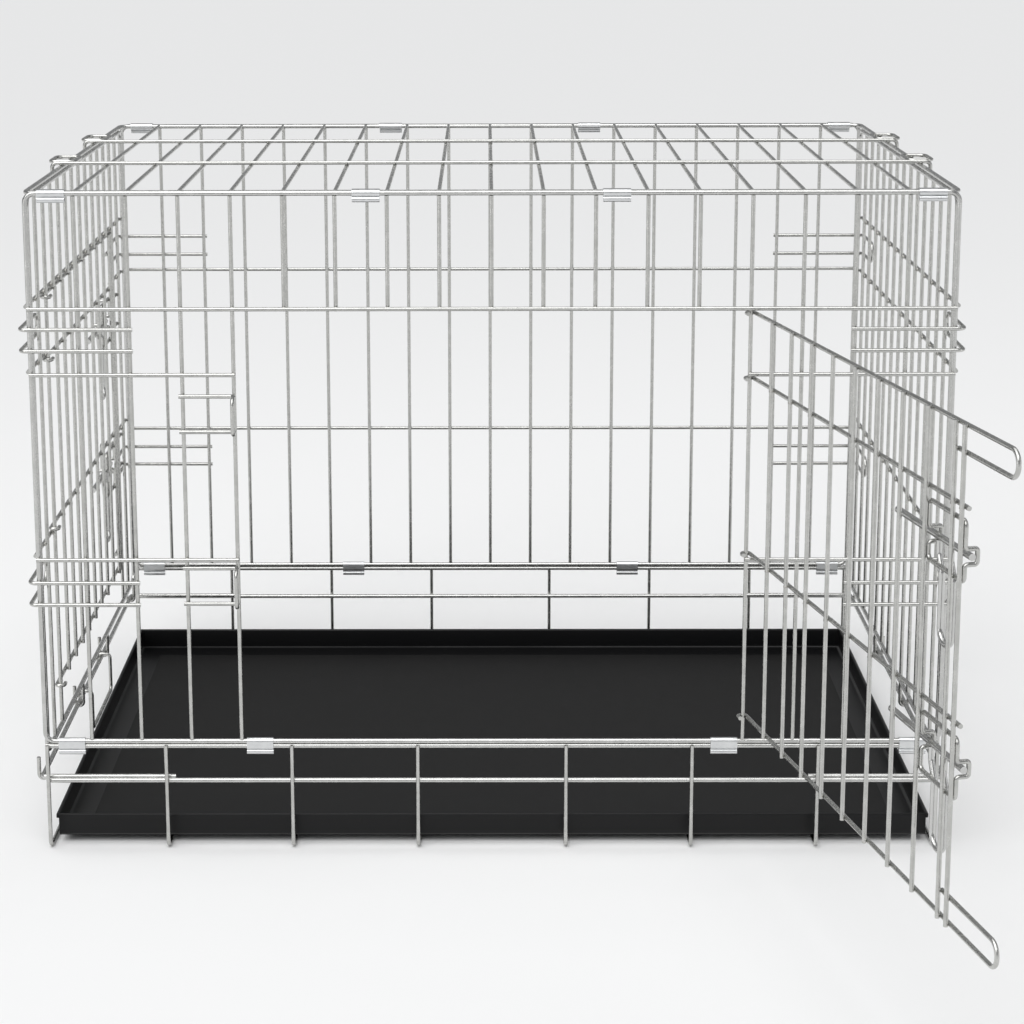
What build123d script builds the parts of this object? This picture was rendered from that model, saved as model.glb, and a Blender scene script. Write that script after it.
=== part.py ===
from build123d import *
import math
import os

os.makedirs("parts", exist_ok=True)

# Wire sizes (radii) and the play of a running fit
R_W = 1.7
R_F = 2.1
R_BOLT = 2.5
R_HANDLE = 2.2
PLAY = 0.08
WELD = 0.03

# Crate frame: X along the length, front at -Y, Z from the ground
HALF_W = 264.5
HALF_L = 380.5
PITCH = 42.5
EDGE_X = 379.5
UPRIGHTS = 17
PANEL_BOTTOM = 95.2
PANEL_TOP = 564.0
LAP = 2 * R_W - WELD
FRAME_IN = R_W - R_F
RAIL_GAP = 2 * R_F + 0.05
LOOP_BEND = 8.0

# End panels
END_PITCH = 36.3
END_EDGE = 254.1
END_SPACES = 14
END_BOTTOM = 82.0
END_TOP = 559.5
HOOK_AT = (0, 5, 9, 14)
HOOK_RISE = 15.0

# Base
BASE_RAIL_Z = PANEL_BOTTOM - RAIL_GAP
MID_RAIL_Z = 60.0
END_RAIL_Z = 62.0
END_RAIL_X = 384.35
STUB_X = 270.0
BASE_CROSS_X = (63.0, 170.0, 277.0)
BASE_END_X = 378.0

# Doorways and the heights of the cross wires
FULL_CROSS_Z = 469.0
SIDE_CROSS_Z = (414.0, 256.0)
BACK_CROSS_Z = (414.0, 244.0)
DOOR_OPEN = 103.0
HINGE_R = 2 * R_W + PLAY
DOOR_IN = HINGE_R - LAP
DOOR_TOP = 464.6
DOOR_CROSS_Z = (410.0, 260.0)
DOOR_BOTTOM = 117.0
GUARD = 18.4
PAIR = 9.86
FIRST = 0.17
STEP = 1.04
BOLT_OFF = 8.0
BOLT_TRAVEL = 20.0
BOLT_TIP = 1.9
EYE_GAP = 4.0
BOLT_Z = {"upper": 376.0, "lower": 228.0}
GUIDE_SPAN = {"upper": (24.3, 17.3), "lower": (21.3, 21.3)}
KEEPER_SPAN = {"upper": (396.0, 366.0), "lower": (249.0, 218.0)}

# Tray
TRAY_X = 373.0
TRAY_Y = 254.0
TRAY_BOTTOM = 2 * R_W + 0.05
TRAY_BEND_Z = 6.5
TRAY_TOP = 26.0
TRAY_INSET = 28.0
SHEET = 1.0
HEM = 1.5
HEM_TALL = 3.0

# Hinge clips
CLIP_LENGTH = 22.5
CLIP_WALL = 0.9


def rod(start, end, r):
    """A straight wire between two points."""
    run = Vector(*end) - Vector(*start)
    return Solid.make_cylinder(r, run.length, Plane(origin=start, z_dir=run))


def wire_path(points, bends, closed=False):
    """Straight runs through the points, joined by an arc at each bend."""
    pts = [Vector(*p) for p in points]
    n = len(pts)
    turning = range(n) if closed else range(1, n - 1)
    if not isinstance(bends, (list, tuple)):
        bends = [bends] * len(turning)
    arcs = {}
    for i, bend in zip(turning, bends):
        to_last = (pts[i - 1] - pts[i]).normalized()
        to_next = (pts[(i + 1) % n] - pts[i]).normalized()
        half = math.acos(max(-1, min(1, to_last.dot(to_next)))) / 2
        cut = bend / math.tan(half)
        inward = (to_last + to_next).normalized()
        middle = pts[i] + inward * (bend / math.sin(half) - bend)
        arcs[i] = (pts[i] + to_last * cut, middle, pts[i] + to_next * cut)
    order = [i % n for i in range(1, n + 1)] if closed else list(turning)
    here = arcs[0][2] if closed else pts[0]
    edges = []
    for i in order:
        if (arcs[i][0] - here).length > 1e-4:
            edges.append(Line(here, arcs[i][0]))
        edges.append(ThreePointArc(*arcs[i]))
        here = arcs[i][2]
    if not closed and (pts[-1] - here).length > 1e-4:
        edges.append(Line(here, pts[-1]))
    return Wire(edges)


def bent(points, r, bends, closed=False):
    """One bent wire, swept along its path."""
    path = wire_path(points, bends, closed)
    section = Face(Wire(Edge.make_circle(r, Plane(origin=path @ 0, z_dir=path % 0))))
    return sweep(section, path=path).solids()[0]


# Each side's own coordinates: along the side, outward from its mesh, height
def front(u, out, z):
    return (u, -HALF_W - out, z)


def back(u, out, z):
    return (u, HALF_W + out, z)


def left(u, out, z):
    return (-HALF_L - out, u, z)


def right(u, out, z):
    return (HALF_L + out, u, z)


def swung(hinge, degrees):
    """Coordinates on a door: along it from the hinge, outward, height."""
    a = math.radians(degrees)

    def place(s, out, z):
        x = hinge[0] + s * math.cos(a) - out * math.sin(a)
        y = hinge[1] + s * math.sin(a) + out * math.cos(a)
        return (x, y, z)

    return place


parts = {}

# Front and back panels
xs = [(i - (UPRIGHTS - 1) / 2) * PITCH for i in range(UPRIGHTS)]
JAMB = 5 * PITCH
for name, side in (("front", front), ("back", back)):
    corners = [(EDGE_X, PANEL_BOTTOM), (EDGE_X, PANEL_TOP)]
    corners += [(-EDGE_X, PANEL_TOP), (-EDGE_X, PANEL_BOTTOM)]
    loop = [side(x, FRAME_IN, z) for x, z in corners]
    parts[name + "_panel_frame"] = [bent(loop, R_F, LOOP_BEND, True)]
    low = PANEL_BOTTOM + R_F - WELD
    high = PANEL_TOP - R_F + WELD
    wires = []
    for x in xs:
        over_door = name == "front" and abs(x) < JAMB - 1
        foot = FULL_CROSS_Z - R_W if over_door else low
        wires.append(rod(side(x, 0, foot), side(x, 0, high), R_W))
    parts[name + "_panel_uprights"] = wires
    reach = EDGE_X + 1.2
    if name == "front":
        runs = [(-reach, reach, FULL_CROSS_Z)]
        for z in SIDE_CROSS_Z:
            runs += [(-reach, -JAMB + 1.2, z), (JAMB - 1.2, reach, z)]
    else:
        runs = [(-reach, reach, z) for z in BACK_CROSS_Z]
    parts[name + "_panel_cross_wires"] = [
        rod(side(a, LAP, z), side(b, LAP, z), R_W) for a, b, z in runs
    ]

# Corner keepers: round the corner and back outside the end panel
KEEPER_X = 387.5
for name, sign, spans, far in (
    ("front", -1, ((452.0, 434.0), (236.0, 217.0)), 190.0),
    ("back", 1, ((449.0, 430.0), (224.0, 205.0)), 206.0),
):
    wires = []
    face = sign * (HALF_W + LAP)
    for end in (-1, 1):
        for top, bottom in spans:
            start = end * (xs[-2] - 3)
            round_r = (top - bottom) / 2 - 0.01
            pts = [
                (start, face, top),
                (end * KEEPER_X, face, top),
                (end * KEEPER_X, sign * far, top),
                (end * KEEPER_X, sign * far, bottom),
                (end * KEEPER_X, face, bottom),
                (start, face, bottom),
            ]
            wires.append(bent(pts, R_W, [6, round_r, round_r, 6]))
    parts[name + "_corner_keepers"] = wires


def latch_keepers(side, hinge, pitch, outer):
    """The eyes that take the two bolts of a door."""
    wires = []
    eye = hinge + (PAIR * pitch + BOLT_TIP + EYE_GAP) * math.copysign(1, outer - hinge)
    for top, bottom in KEEPER_SPAN.values():
        pts = [
            side(outer, LAP, top),
            side(eye, LAP, top),
            side(eye, LAP + 14, top),
            side(eye, LAP + 14, bottom),
            side(eye, LAP, bottom),
            side(outer, LAP, bottom),
        ]
        wires.append(bent(pts, R_W, [3, 5, 5, 3]))
    return wires


parts["front_latch_keepers"] = latch_keepers(front, JAMB, PITCH, -JAMB - PITCH - 3)

# Top panel, its long wires and its finger loops
top_y = HALF_W + FRAME_IN - RAIL_GAP
top_x = HALF_L + FRAME_IN
loop = [(x, y, PANEL_TOP) for x, y in ((-top_x, -top_y), (top_x, -top_y))]
loop += [(x, y, PANEL_TOP) for x, y in ((top_x, top_y), (-top_x, top_y))]
parts["top_panel_frame"] = [bent(loop, R_F, LOOP_BEND, True)]
reach = top_y - R_F + WELD
cross_z = PANEL_TOP + R_F - R_W
parts["top_cross_wires"] = [rod((x, -reach, cross_z), (x, reach, cross_z), R_W) for x in xs]
LONG_Y = (-88.0, 86.0)
LONG_Z = PANEL_TOP + R_F + R_W - WELD
HOOK_X = 388.0
HOOK_DROP = 12.0
wires = []
for y in LONG_Y:
    pts = [(-HOOK_X, y, LONG_Z - HOOK_DROP), (-HOOK_X, y, LONG_Z)]
    pts += [(HOOK_X, y, LONG_Z), (HOOK_X, y, LONG_Z - HOOK_DROP)]
    wires.append(bent(pts, R_W, 4))
parts["top_long_wires"] = wires
wires = []
for end in (-1, 1):
    for y in LONG_Y:
        pts = [(end * x, y + dy, LONG_Z) for x, dy in ((370, 12), (392, 12), (392, 48), (370, 48))]
        wires.append(bent(pts, R_W, 6, True))
parts["top_finger_loops"] = wires

# Base
rail_y = HALF_W + FRAME_IN
span = EDGE_X + 0.2
for name, z in (("base_top_rails", BASE_RAIL_Z), ("base_mid_rails", MID_RAIL_Z)):
    parts[name] = [rod((-span, s * rail_y, z), (span, s * rail_y, z), R_F) for s in (-1, 1)]
riser_y = rail_y + R_F + R_W - WELD


def floor_wire(x):
    """Down the front, under the tray and up the back."""
    high = BASE_RAIL_Z + 1.5
    pts = [(x, -riser_y, high), (x, -riser_y, R_W), (x, riser_y, R_W), (x, riser_y, high)]
    return bent(pts, R_W, 6)


parts["base_cross_wires"] = [floor_wire(s * x) for x in BASE_CROSS_X for s in (-1, 1)]
parts["base_end_wires"] = [floor_wire(s * BASE_END_X) for s in (-1, 1)]
stub_drop = END_RAIL_Z - MID_RAIL_Z
stub_y = rail_y - math.sqrt((2 * R_F - 0.01) ** 2 - stub_drop**2)
for name, s in (("left_end_rail", -1), ("right_end_rail", 1)):
    pts = [(s * x, y, END_RAIL_Z) for x, y in ((STUB_X, -stub_y), (END_RAIL_X, -stub_y))]
    pts += [(s * x, y, END_RAIL_Z) for x, y in ((END_RAIL_X, stub_y), (STUB_X, stub_y))]
    parts[name] = [bent(pts, R_F, 4)]

# Tray: a pan of sheet with upright walls, a shallow slope and a flat floor


def pan(inset, bottom, top):
    """The solid space of the pan, set in by a sheet's thickness or not at all."""
    x = TRAY_X - inset
    y = TRAY_Y - inset
    high = Plane((0, 0, TRAY_BEND_Z + inset)) * RectangleRounded(2 * x, 2 * y, 6 - inset)
    low = Plane((0, 0, bottom)) * RectangleRounded(
        2 * (x - TRAY_INSET), 2 * (y - TRAY_INSET), 6 - inset
    )
    wall = extrude(high, top - TRAY_BEND_Z - inset)
    return loft([low.face(), high.face()]) + wall


hem = Plane((0, 0, TRAY_TOP - HEM_TALL)) * RectangleRounded(
    2 * (TRAY_X + HEM), 2 * (TRAY_Y + HEM), 6 + HEM
)
tray = pan(0, TRAY_BOTTOM, TRAY_TOP) + extrude(hem, HEM_TALL)
tray -= pan(SHEET, TRAY_BOTTOM + SHEET, TRAY_TOP + 1)
parts["tray"] = [tray.solids()[0]]

# Tray stop: a bail hung on the left end rail
STOP_Y = 1.5 * END_PITCH
STOP_IN = 9.0
wrap = R_F + R_W + PLAY
foot_z = TRAY_TOP + 1.5 + R_W
pts = []
for s in (-1, 1):
    leg = [
        (-END_RAIL_X, s * STOP_Y, END_RAIL_Z - wrap),
        (-END_RAIL_X - wrap, s * STOP_Y, END_RAIL_Z - wrap),
        (-END_RAIL_X - wrap, s * STOP_Y, END_RAIL_Z + wrap),
        (-END_RAIL_X + STOP_IN, s * STOP_Y, END_RAIL_Z + wrap),
        (-END_RAIL_X + STOP_IN, s * STOP_Y, foot_z),
    ]
    pts += leg if s < 0 else leg[::-1]
eye_bend = wrap - 0.01
parts["tray_stop"] = [bent(pts, R_W, [eye_bend, eye_bend, 4, 5, 5, 4, eye_bend, eye_bend])]

# End panels
END_HINGE = -END_EDGE + 2 * END_PITCH
END_JAMB = -END_HINGE
ys = [-END_EDGE + j * END_PITCH for j in range(END_SPACES + 1)]
for name, side, has_door in (("left", left, True), ("right", right, False)):
    corners = [(END_EDGE, END_BOTTOM), (END_EDGE, END_TOP)]
    corners += [(-END_EDGE, END_TOP), (-END_EDGE, END_BOTTOM)]
    loop = [side(u, FRAME_IN, z) for u, z in corners]
    parts[name + "_panel_frame"] = [bent(loop, R_F, LOOP_BEND, True)]
    low = END_BOTTOM + R_F - WELD
    high = END_TOP - R_F + WELD
    wires = []
    for u in ys[1:-1]:
        over_door = has_door and abs(u) < END_JAMB - 1
        foot = FULL_CROSS_Z - R_W if over_door else low
        wires.append(rod(side(u, 0, foot), side(u, 0, high), R_W))
    parts[name + "_panel_uprights"] = wires
    reach = END_EDGE + 1.2
    runs = [(-reach, reach, FULL_CROSS_Z)]
    for z in SIDE_CROSS_Z:
        if has_door:
            runs += [(-reach, -END_JAMB + 1.2, z), (END_JAMB - 1.2, reach, z)]
        else:
            runs += [(-reach, reach, z)]
    parts[name + "_panel_cross_wires"] = [
        rod(side(a, LAP, z), side(b, LAP, z), R_W) for a, b, z in runs
    ]
    rail_out = END_RAIL_X - HALF_L
    hooks = []
    for j in HOOK_AT:
        pts = [
            side(ys[j], rail_out - wrap, END_BOTTOM - R_F + WELD),
            side(ys[j], rail_out - wrap, END_RAIL_Z - wrap),
            side(ys[j], rail_out + wrap, END_RAIL_Z - wrap),
            side(ys[j], rail_out + wrap, END_RAIL_Z + HOOK_RISE),
        ]
        hooks.append(bent(pts, R_W, eye_bend))
    parts[name + "_hinge_hooks"] = hooks
parts["left_latch_keepers"] = latch_keepers(left, END_HINGE, END_PITCH, ys[13] + 3)

# Doors


def make_door(name, place, pitch, guard_end, handle_at, bolt_length):
    """A door with its eyes on the hinge wire, two bolts and their handles."""
    at = [(FIRST + STEP * i) * pitch for i in range(1, 10)] + [PAIR * pitch]
    top = DOOR_TOP + 1.2
    bottom = DOOR_BOTTOM - 1.2
    parts[name + "_uprights"] = [
        rod(place(s, DOOR_IN, bottom), place(s, DOOR_IN, top), R_W) for s in at
    ]

    def eye(z):
        return [place(4, -HINGE_R, z), place(-HINGE_R, -HINGE_R, z), place(-HINGE_R, HINGE_R, z)]

    tight = HINGE_R - 0.01
    parts[name + "_cross_wires"] = [
        bent(eye(z) + [place(at[-1] + 4, HINGE_R, z)], R_W, tight) for z in DOOR_CROSS_Z
    ]
    for which, z, turn in (("top", DOOR_TOP, -GUARD), ("bottom", DOOR_BOTTOM, GUARD)):
        pts = eye(z) + [place(guard_end, HINGE_R, z), place(guard_end, HINGE_R, z + turn)]
        pts.append(place(at[8] - 1.2, HINGE_R, z + turn))
        parts[name + "_" + which + "_wire"] = [bent(pts, R_W, [tight, tight, 9, 9])]
    kink = BOLT_OFF + R_BOLT + R_W + 0.2
    guides = []
    for which, zr in BOLT_Z.items():
        up, down = GUIDE_SPAN[which]
        side_wire = [(HINGE_R, up), (HINGE_R, 5.4), (kink, 5.4)]
        side_wire += [(kink, -5.4), (HINGE_R, -5.4), (HINGE_R, -down)]
        pts = [place(at[9], out, zr + dz) for out, dz in side_wire]
        pts += [place(at[7], out, zr + dz) for out, dz in side_wire[::-1]]
        guides.append(bent(pts, R_W, [4, 2.2, 2.2, 2.2, 2.2, 4] * 2, True))
        tip = at[9] + BOLT_TIP
        ends = [place(s, BOLT_OFF, zr) for s in (tip - bolt_length, tip)]
        parts[name + "_bolt_" + which] = [rod(*ends, R_BOLT)]
        a, b = handle_at
        start = zr - R_BOLT - 0.05
        shape = [(a, start), (a, zr - 12), (a + 6, zr - 24), (a + 6, zr - 72)]
        shape += [(b + 6, zr - 72), (b + 6, zr - 24), (b, zr - 12), (b, start)]
        low = (b - a) / 2 - 0.05
        pts = [place(s, BOLT_OFF, z) for s, z in shape]
        parts[name + "_handle_" + which] = [bent(pts, R_HANDLE, [5, 5, low, low, 5, 5])]
    parts[name + "_bolt_guides"] = guides


HINGE_F = (JAMB, -HALF_W)
HINGE_S = (-HALF_L, END_HINGE)
front_door = swung(HINGE_F, 180 + DOOR_OPEN)
side_door = swung(HINGE_S, 90)
make_door("front_door", front_door, PITCH, 492.0, (368.0, 388.0), 125.0)
make_door("side_door", side_door, END_PITCH, 380.0, (313.0, 332.0), 109.0)


# Hinge clips: an oval band round two rails, with a rolled flange below
def clip(x, side, standing):
    """A clip round two rails, side by side at the top or one over the other at the base."""
    bore = R_F + 0.05
    skin = bore + CLIP_WALL
    if standing:
        middle, turn, roll = (rail_y, BASE_RAIL_Z + RAIL_GAP / 2), 90, (rail_y, BASE_RAIL_Z - 5.0)
    else:
        middle, turn, roll = (rail_y - RAIL_GAP / 2, PANEL_TOP), 0, (rail_y + 0.8, PANEL_TOP - 5.0)
    tube = Pos(*roll) * Circle(2.4)
    shape = Pos(*middle) * Rot(0, 0, turn) * SlotCenterToCenter(RAIL_GAP, 2 * skin) + tube
    shape -= Pos(*middle) * Rot(0, 0, turn) * SlotCenterToCenter(RAIL_GAP, 2 * bore)
    shape -= Pos(*roll) * Circle(1.5)
    band = Plane(origin=(x - CLIP_LENGTH / 2, 0, 0), x_dir=(0, 1, 0), z_dir=(1, 0, 0)) * shape
    solid = extrude(band, CLIP_LENGTH, dir=(1, 0, 0)).solids()[0]
    return solid if side > 0 else mirror(solid, about=Plane.XZ)


for name, side, standing, at in (
    ("top_front_clips", -1, False, (358.0, 102.0)),
    ("top_back_clips", 1, False, (358.0, 102.0)),
    ("base_front_clips", -1, True, (357.0, 197.0)),
    ("base_back_clips", 1, True, (359.0, 146.0)),
):
    parts[name] = [clip(s * x, side, standing) for x in at for s in (-1, 1)]

# The object's frame: the middle of its box on the ground
whole = Compound(children=[s for group in parts.values() for s in group]).bounding_box()
SHIFT = Vector(-(whole.min.X + whole.max.X) / 2, -(whole.min.Y + whole.max.Y) / 2, -whole.min.Z)
for name, group in parts.items():
    shape = Compound(children=[s.moved(Location(SHIFT)) for s in group])
    export_step(shape, "parts/" + name + ".step")
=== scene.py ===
# %% [markdown]
# # A folding wire dog crate
# The crate is galvanised wire, welded into panels, with pressed zinc clips and a black
# sheet-steel tray. The wires themselves come from the CAD frame, so the lesson is about
# what turns plain rods into a crate: the metal's finish, the small weld at each crossing,
# the pressed tray and the light that runs along the wires.

# %% Load the frame
import math

import bmesh
import bpy
from mathutils import Matrix, Vector


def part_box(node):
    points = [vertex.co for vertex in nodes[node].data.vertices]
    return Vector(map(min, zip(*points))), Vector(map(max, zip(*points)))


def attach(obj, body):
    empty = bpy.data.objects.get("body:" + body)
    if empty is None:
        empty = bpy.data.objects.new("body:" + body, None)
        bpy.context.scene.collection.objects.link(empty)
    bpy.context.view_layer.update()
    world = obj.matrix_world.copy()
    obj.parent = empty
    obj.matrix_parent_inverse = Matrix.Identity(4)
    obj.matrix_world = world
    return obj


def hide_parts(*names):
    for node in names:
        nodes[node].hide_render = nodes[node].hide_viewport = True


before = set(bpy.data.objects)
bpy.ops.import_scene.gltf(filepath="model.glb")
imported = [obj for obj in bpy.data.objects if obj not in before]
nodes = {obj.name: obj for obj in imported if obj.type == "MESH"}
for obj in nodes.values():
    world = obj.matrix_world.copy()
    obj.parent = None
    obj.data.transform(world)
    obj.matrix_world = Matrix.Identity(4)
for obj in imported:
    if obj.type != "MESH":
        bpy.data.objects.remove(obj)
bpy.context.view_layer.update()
scene = bpy.context.scene
print("nodes", len(nodes))

# %% [markdown]
# The camera stands in front of the crate, a little above its roof, and looks slightly down.
# A long lens keeps the sides nearly parallel. A small shift frames the crate, so that the
# upright wires stay upright.

# %% Camera
CAMERA_BACK = 1.91426
CAMERA_SIDE = -0.00518
CAMERA_HEIGHT = 0.81636
CAMERA_PITCH = -0.20045
CAMERA_YAW = 0.00561
CAMERA_ROLL = -0.00256
LENS = 83.59
SHIFT_ACROSS = 0.0389
SHIFT_UP = -0.15
camera_data = bpy.data.cameras.new("camera")
camera_data.lens = LENS
camera_data.shift_x = SHIFT_ACROSS
camera_data.shift_y = SHIFT_UP
camera = bpy.data.objects.new("camera", camera_data)
panel_low, panel_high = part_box("front_panel_frame")
camera_place = (
    (panel_low.x + panel_high.x) / 2 + CAMERA_SIDE,
    panel_low.y - CAMERA_BACK,
    CAMERA_HEIGHT,
)
yaw = Matrix.Rotation(CAMERA_YAW, 4, "Z")
pitch = Matrix.Rotation(math.pi / 2 + CAMERA_PITCH, 4, "X")
roll = Matrix.Rotation(CAMERA_ROLL, 4, "Z")
camera.matrix_world = Matrix.Translation(camera_place) @ (yaw @ pitch) @ roll
scene.collection.objects.link(camera)
scene.camera = camera

# %% [markdown]
# A pale studio. Bright wire is a mirror, so what surrounds it is its shading. The world is
# a mid grey for everything that it lights, and pale only where the camera sees it straight,
# which leaves grey sides on every wire. A wide sun lights the floor evenly, so that it stays
# one pale tone to the horizon, and two strip lights draw long highlights along the wires.

# %% Studio
FLOOR_COLOUR = (0.84, 0.84, 0.84, 1)
BACKDROP = (0.855, 0.855, 0.855, 1)
REFLECTED = (0.30, 0.305, 0.31, 1)
SUN_POWER = 2.35
SUN_SPREAD = math.radians(70)
FLOOR_SIZE = 80
FLOOR_DROP = 0.0004
MIDDLE = (0, 0.2, 0.3)


def flat_material(name, colour):
    """A plain matt finish for the studio."""
    material = bpy.data.materials.new(name)
    material.use_nodes = True
    shader = material.node_tree.nodes["Principled BSDF"]
    shader.inputs["Base Color"].default_value = colour
    shader.inputs["Roughness"].default_value = 1.0
    shader.inputs["Specular IOR Level"].default_value = 0.0
    return material


def aimed_light(name, kind, place, aim, power):
    """A light at a place, turned to a point."""
    light = bpy.data.lights.new(name, kind)
    light.energy = power
    lamp = bpy.data.objects.new(name, light)
    lamp.location = place
    lamp.rotation_euler = (Vector(aim) - Vector(place)).to_track_quat("-Z", "Y").to_euler()
    scene.collection.objects.link(lamp)
    return light


bpy.ops.object.select_all(action="DESELECT")
bpy.ops.mesh.primitive_plane_add(size=FLOOR_SIZE, location=(0, 0, -FLOOR_DROP))
floor = bpy.context.object
floor.name = "studio_floor"
floor.data.materials.append(flat_material("studio_white", FLOOR_COLOUR))
world = bpy.data.worlds.new("studio_world")
world.use_nodes = True
sky = world.node_tree
seen = sky.nodes.new("ShaderNodeBackground")
seen.inputs["Color"].default_value = BACKDROP
path = sky.nodes.new("ShaderNodeLightPath")
either = sky.nodes.new("ShaderNodeMixShader")
sky.nodes["Background"].inputs["Color"].default_value = REFLECTED
sky.links.new(path.outputs["Is Camera Ray"], either.inputs[0])
sky.links.new(sky.nodes["Background"].outputs[0], either.inputs[1])
sky.links.new(seen.outputs[0], either.inputs[2])
sky.links.new(either.outputs[0], sky.nodes["World Output"].inputs["Surface"])
scene.world = world
sun = aimed_light("sun", "SUN", (-1.2, -1.6, 4.0), MIDDLE, SUN_POWER)
sun.angle = SUN_SPREAD
for name, place, size, power in (
    ("strip_left", (-2.2, -2.0, 1.1), (0.5, 2.2), 9),
    ("strip_right", (2.6, -1.2, 1.2), (0.4, 2.2), 6),
    ("strip_over", (0.0, 0.4, 2.6), (3.0, 0.6), 10),
):
    strip = aimed_light(name, "AREA", place, MIDDLE, power)
    strip.shape = "RECTANGLE"
    strip.size, strip.size_y = size
scene.view_settings.view_transform = "Standard"

# %% [markdown]
# Finishes are written as sums. This class holds a shader socket, and a sum on it adds the
# Math nodes, so a finish reads like a formula. Any other node comes from `Finish.node`.

# %% Shader sums


class Value:
    """A socket of one finish that can be used in sums."""

    def __init__(self, finish, socket):
        self.finish = finish
        self.socket = socket

    def join(self, operation, first, second):
        """One Math node with two inputs."""
        return self.finish.node("ShaderNodeMath", {"operation": operation}, {0: first, 1: second})

    def __add__(self, other):
        return self.join("ADD", self, other)

    def __sub__(self, other):
        return self.join("SUBTRACT", self, other)

    def __rsub__(self, other):
        return self.join("SUBTRACT", other, self)

    def __mul__(self, other):
        return self.join("MULTIPLY", self, other)

    def __gt__(self, other):
        return self.join("GREATER_THAN", self, other)

    __radd__ = __add__
    __rmul__ = __mul__


class Finish:
    """A material with its principled shader."""

    def __init__(self, name, **constants):
        self.material = bpy.data.materials.new(name)
        self.material.use_nodes = True
        self.tree = self.material.node_tree
        self.shader = self.tree.nodes["Principled BSDF"]
        for socket, value in constants.items():
            self.shader.inputs[socket.replace("_", " ")].default_value = value

    def put(self, socket, value):
        """A value or a link on one socket."""
        if isinstance(value, Value):
            self.tree.links.new(value.socket, socket)
        else:
            socket.default_value = value

    def node(self, kind, settings=None, inputs=None, output=0):
        """Any node: its settings first, then its sockets."""
        node = self.tree.nodes.new(kind)
        for key, value in (settings or {}).items():
            setattr(node, key, value)
        for key, value in (inputs or {}).items():
            self.put(node.inputs[key], value)
        return Value(self, node.outputs[output])

    def where(self):
        """The place of a point on the object."""
        return self.node("ShaderNodeTexCoord", output=3)

    def noise(self, scale, detail):
        """Noise fixed to the object."""
        inputs = {"Vector": self.where(), "Scale": scale, "Detail": detail}
        return self.node("ShaderNodeTexNoise", None, inputs)

    def mix(self, share, first, second):
        """A colour between two colours."""
        settings = {"data_type": "RGBA"}
        return self.node("ShaderNodeMix", settings, {0: share, 6: first, 7: second}, output=2)

    def use(self, socket, value):
        """Puts a value on the shader."""
        self.put(self.shader.inputs[socket], value)

    def bump(self, height, strength, distance):
        """A bump that feeds the shader's normal."""
        inputs = {"Height": height, "Strength": strength, "Distance": distance}
        self.use("Normal", self.node("ShaderNodeBump", None, inputs))


# %% [markdown]
# Galvanised wire is steel drawn through a die and dipped or plated in zinc. It is bright but
# not polished: the zinc is cloudy in patches of a few millimetres, a little rougher in some
# than in others, and slightly warm where it has dulled.

# %% Finishes for the metal


def zinc(name, light, dull, rough, cloud_scale, bump):
    """Cloudy zinc on steel."""
    finish = Finish(name, Metallic=1.0)
    clouds = finish.noise(cloud_scale, 4.0)
    grains = finish.noise(cloud_scale * 9, 2.0)
    finish.use("Base Color", finish.mix(clouds, dull, light))
    finish.use("Roughness", clouds * 0.16 + grains * 0.08 + rough)
    finish.bump(grains * 0.5 + clouds, bump, 0.0004)
    return finish.material


WIRE = zinc("galvanised_wire", (0.66, 0.66, 0.64, 1), (0.40, 0.40, 0.385, 1), 0.14, 130, 0.18)
FRAME_WIRE = zinc("frame_wire", (0.68, 0.68, 0.665, 1), (0.43, 0.43, 0.42, 1), 0.14, 110, 0.18)
BOLT_WIRE = zinc("bolt_zinc", (0.70, 0.70, 0.69, 1), (0.48, 0.48, 0.47, 1), 0.10, 90, 0.12)
CLIP_SHEET = zinc("clip_sheet", (0.80, 0.81, 0.81, 1), (0.60, 0.61, 0.62, 1), 0.20, 160, 0.30)
WELD_METAL = zinc("weld_metal", (0.66, 0.65, 0.62, 1), (0.34, 0.33, 0.31, 1), 0.28, 240, 0.6)

# %% [markdown]
# The tray is sheet steel, pressed and enamelled black. Its floor is rougher than its slopes
# and walls, with a softer sheen, and its colour is painted a little paler as painted light,
# for a floor that takes the light flat on. A thin pale line where the slope turns up into the
# wall is a painted highlight, and all of it has a fine orange-peel grain.

# %% Finish for the tray
TRAY_FLOOR_Z = 0.0050
# The height band of the painted highlight line along the bend.
PAINTED_HIGHLIGHT_Z = (0.0069, 0.0076)


def enamel():
    """Black enamel, painted paler on the flat floor as painted light, with a painted highlight
    line.
    """
    finish = Finish("black_enamel", Metallic=0.0)
    finish.shader.inputs["Specular IOR Level"].default_value = 0.28
    height = finish.node("ShaderNodeSeparateXYZ", None, {0: finish.where()}, output=2)
    wall = height > TRAY_FLOOR_Z
    # Painted highlight: a thin pale band where the slope turns up into the wall.
    painted_highlight_line = (height > PAINTED_HIGHLIGHT_Z[0]) - (height > PAINTED_HIGHLIGHT_Z[1])
    clouds = finish.noise(9, 4.0)
    grains = finish.noise(900, 2.0)
    # Painted light: the flat floor is coloured a little paler than the walls, as if lit flat on.
    painted_lit_floor_colour = finish.mix(clouds, (0.0045, 0.0043, 0.0043, 1), (0.0075, 0.0072, 0.0072, 1))
    enamel_with_painted_floor_light = finish.mix(wall, painted_lit_floor_colour, (0.0030, 0.0030, 0.0034, 1))
    # The pale colour mixed in here is the painted highlight along the bend.
    finish.use("Base Color", finish.mix(painted_highlight_line * clouds, enamel_with_painted_floor_light, (0.075, 0.075, 0.075, 1)))
    finish.use("Roughness", 0.50 + clouds * 0.12 - wall * 0.22)
    finish.bump(grains, 0.12, 0.0003)
    return finish.material


TRAY_ENAMEL = enamel()

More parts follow.
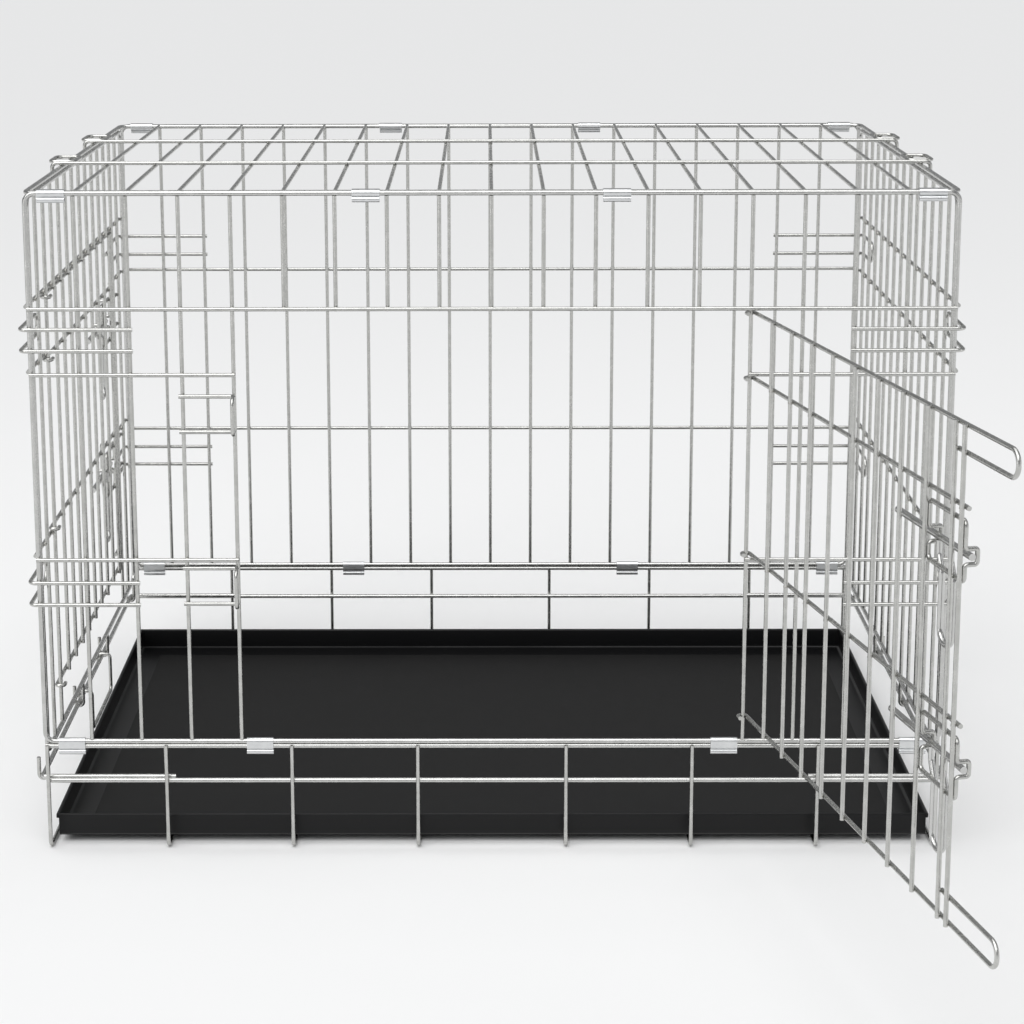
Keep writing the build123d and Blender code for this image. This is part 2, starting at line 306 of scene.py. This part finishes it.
for name, node in nodes.items():
    if "clips" in name:
        finish = CLIP_SHEET
    elif "handle" in name or "_bolt_upper" in name or "_bolt_lower" in name:
        finish = BOLT_WIRE
    elif "frame" in name or "rail" in name:
        finish = FRAME_WIRE
    else:
        finish = WIRE
    node.data.materials.clear()
    node.data.materials.append(finish)
print("finishes laid on", len(nodes), "nodes")

# %% [markdown]
# The real tray is one sheet: a flat floor, a shallow slope all round it, an upright wall and
# a rim folded outward. It is modelled the way it is pressed. A plane the size of the floor is
# extruded outward ring by ring, then given its thickness and its soft bends by modifiers.

# %% Tray
SHEET = 0.001
SLOPE = 0.028
RIM_FOLD = 0.0014
RIM_DROP = 0.003
SLOPE_RISE = 0.0028
RIM_LIFT = 0.0004
BEND = 0.004
BEND_STEPS = 4
SHARP_BEND = math.radians(50)
SMOOTH_BEND = math.radians(35)
low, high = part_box("tray")
tray_middle = (low + high) / 2
half_x = (high.x - low.x) / 2 - RIM_FOLD
half_y = (high.y - low.y) / 2 - RIM_FOLD


def ring_out(grow, rise, size_x, size_y):
    """Extrudes the open edge and moves it to a bigger ring."""
    bpy.ops.mesh.extrude_edges_move(TRANSFORM_OT_translate={"value": (0, 0, rise)})
    bpy.ops.transform.resize(value=((size_x + grow) / size_x, (size_y + grow) / size_y, 1))


def pick(piece):
    """Makes one piece the only one that is selected."""
    bpy.ops.object.select_all(action="DESELECT")
    piece.select_set(True)
    bpy.context.view_layer.objects.active = piece


def applied(piece, kind, **settings):
    """Adds a modifier and applies it."""
    modifier = piece.modifiers.new(kind.lower(), kind)
    for key, value in settings.items():
        setattr(modifier, key, value)
    pick(piece)
    bpy.ops.object.modifier_apply(modifier=modifier.name)


def placed(piece):
    """Leaves a piece's place in its mesh, with its object at the origin."""
    pick(piece)
    bpy.ops.object.transform_apply(location=True, rotation=True, scale=True)


bpy.ops.object.select_all(action="DESELECT")
bpy.ops.mesh.primitive_plane_add(size=1)
tray = bpy.context.object
tray.name = "tray_pan"
tray.scale = (2 * (half_x - SLOPE), 2 * (half_y - SLOPE), 1)
placed(tray)
bpy.ops.object.mode_set(mode="EDIT")
bpy.ops.mesh.select_mode(type="EDGE")
bpy.ops.mesh.select_all(action="SELECT")
ring_out(SLOPE, SLOPE_RISE, half_x - SLOPE, half_y - SLOPE)
wall_top = high.z - low.z - SHEET
ring_out(0, wall_top - SLOPE_RISE, half_x, half_y)
ring_out(RIM_FOLD - SHEET / 2, RIM_LIFT, half_x, half_y)
ring_out(0, -RIM_DROP, half_x, half_y)
bpy.ops.mesh.select_all(action="SELECT")
bpy.ops.mesh.normals_make_consistent(inside=False)
bpy.ops.object.mode_set(mode="OBJECT")
bend = {"width": BEND, "segments": BEND_STEPS}
applied(tray, "BEVEL", limit_method="ANGLE", angle_limit=SHARP_BEND, **bend)
applied(tray, "SOLIDIFY", thickness=SHEET, offset=1)
tray.location = (tray_middle.x, tray_middle.y, low.z)
placed(tray)
bpy.ops.object.shade_smooth_by_angle(angle=SMOOTH_BEND)
tray.data.materials.append(TRAY_ENAMEL)
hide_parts("tray")
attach(tray, "tray")
print("tray", [round(v, 4) for v in tray.dimensions])

# %% [markdown]
# Where two wires cross they are resistance welded: they are pressed together while a current
# melts the spot, which leaves a small flattened bead squeezed out between them. One low bead
# is copied to every crossing. The crossings are found from the wires themselves.

# %% Crossings of the wires

def wires_of(name):
    """The box of each separate wire in a node."""
    mesh = bmesh.new()
    mesh.from_mesh(nodes[name].data)
    bmesh.ops.remove_doubles(mesh, verts=mesh.verts, dist=1e-6)
    left = set(mesh.verts)
    found = []
    while left:
        start = left.pop()
        group = [start]
        queue = [start]
        while queue:
            for edge in queue.pop().link_edges:
                for vertex in edge.verts:
                    if vertex in left:
                        left.discard(vertex)
                        group.append(vertex)
                        queue.append(vertex)
        spots = [v.co for v in group]
        lowest = Vector([min(s[i] for s in spots) for i in range(3)])
        highest = Vector([max(s[i] for s in spots) for i in range(3)])
        found.append((lowest, highest))
    mesh.free()
    return found


BEAD_WIDE = 0.002295
BEAD_THIN = 0.00136
OVERLAP = 0.0005
LARGEST_CROSSING = 0.012


def crossings(first, second):
    """Where the wires of one node meet those of another."""
    spots = []
    for low_a, high_a in wires_of(first):
        for low_b, high_b in wires_of(second):
            lowest = Vector([max(a, b) for a, b in zip(low_a, low_b)])
            highest = Vector([min(a, b) for a, b in zip(high_a, high_b)])
            if all(h - l > -OVERLAP for l, h in zip(lowest, highest)):
                if max(highest - lowest) < LARGEST_CROSSING:
                    spots.append(((lowest + highest) / 2, highest - lowest))
    return spots


def weld_beads(name, body, pairs):
    """All the beads of one panel as one piece."""
    mesh = bmesh.new()
    for first, second in pairs:
        for spot, size in crossings(first, second):
            thin = min(range(3), key=lambda i: size[i])
            reach = [BEAD_WIDE] * 3
            reach[thin] = BEAD_THIN
            place = Matrix.Translation(spot) @ Matrix.Diagonal((*reach, 1))
            bmesh.ops.create_icosphere(mesh, subdivisions=1, radius=1, matrix=place)
    data = bpy.data.meshes.new(name)
    mesh.to_mesh(data)
    mesh.free()
    piece = bpy.data.objects.new(name, data)
    scene.collection.objects.link(piece)
    pick(piece)
    bpy.ops.object.shade_smooth()
    data.materials.append(WELD_METAL)
    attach(piece, body)
    print(name, len(data.polygons), "faces")


def panel_pairs(panel):
    """The two nodes of a panel whose wires cross."""
    return [(panel + "_uprights", panel + "_cross_wires")]


# %% Weld beads
weld_beads("front_welds", "crate_frame", panel_pairs("front_panel"))
weld_beads("back_welds", "crate_frame", panel_pairs("back_panel"))
weld_beads("left_welds", "left_end", panel_pairs("left_panel"))
weld_beads("right_welds", "right_end", panel_pairs("right_panel"))
weld_beads("top_welds", "crate_frame", [("top_cross_wires", "top_long_wires")])
for door in ("front_door", "side_door"):
    across = [door + part for part in ("_cross_wires", "_top_wire", "_bottom_wire")]
    weld_beads(door + "_welds", door, [(door + "_uprights", wire) for wire in across])
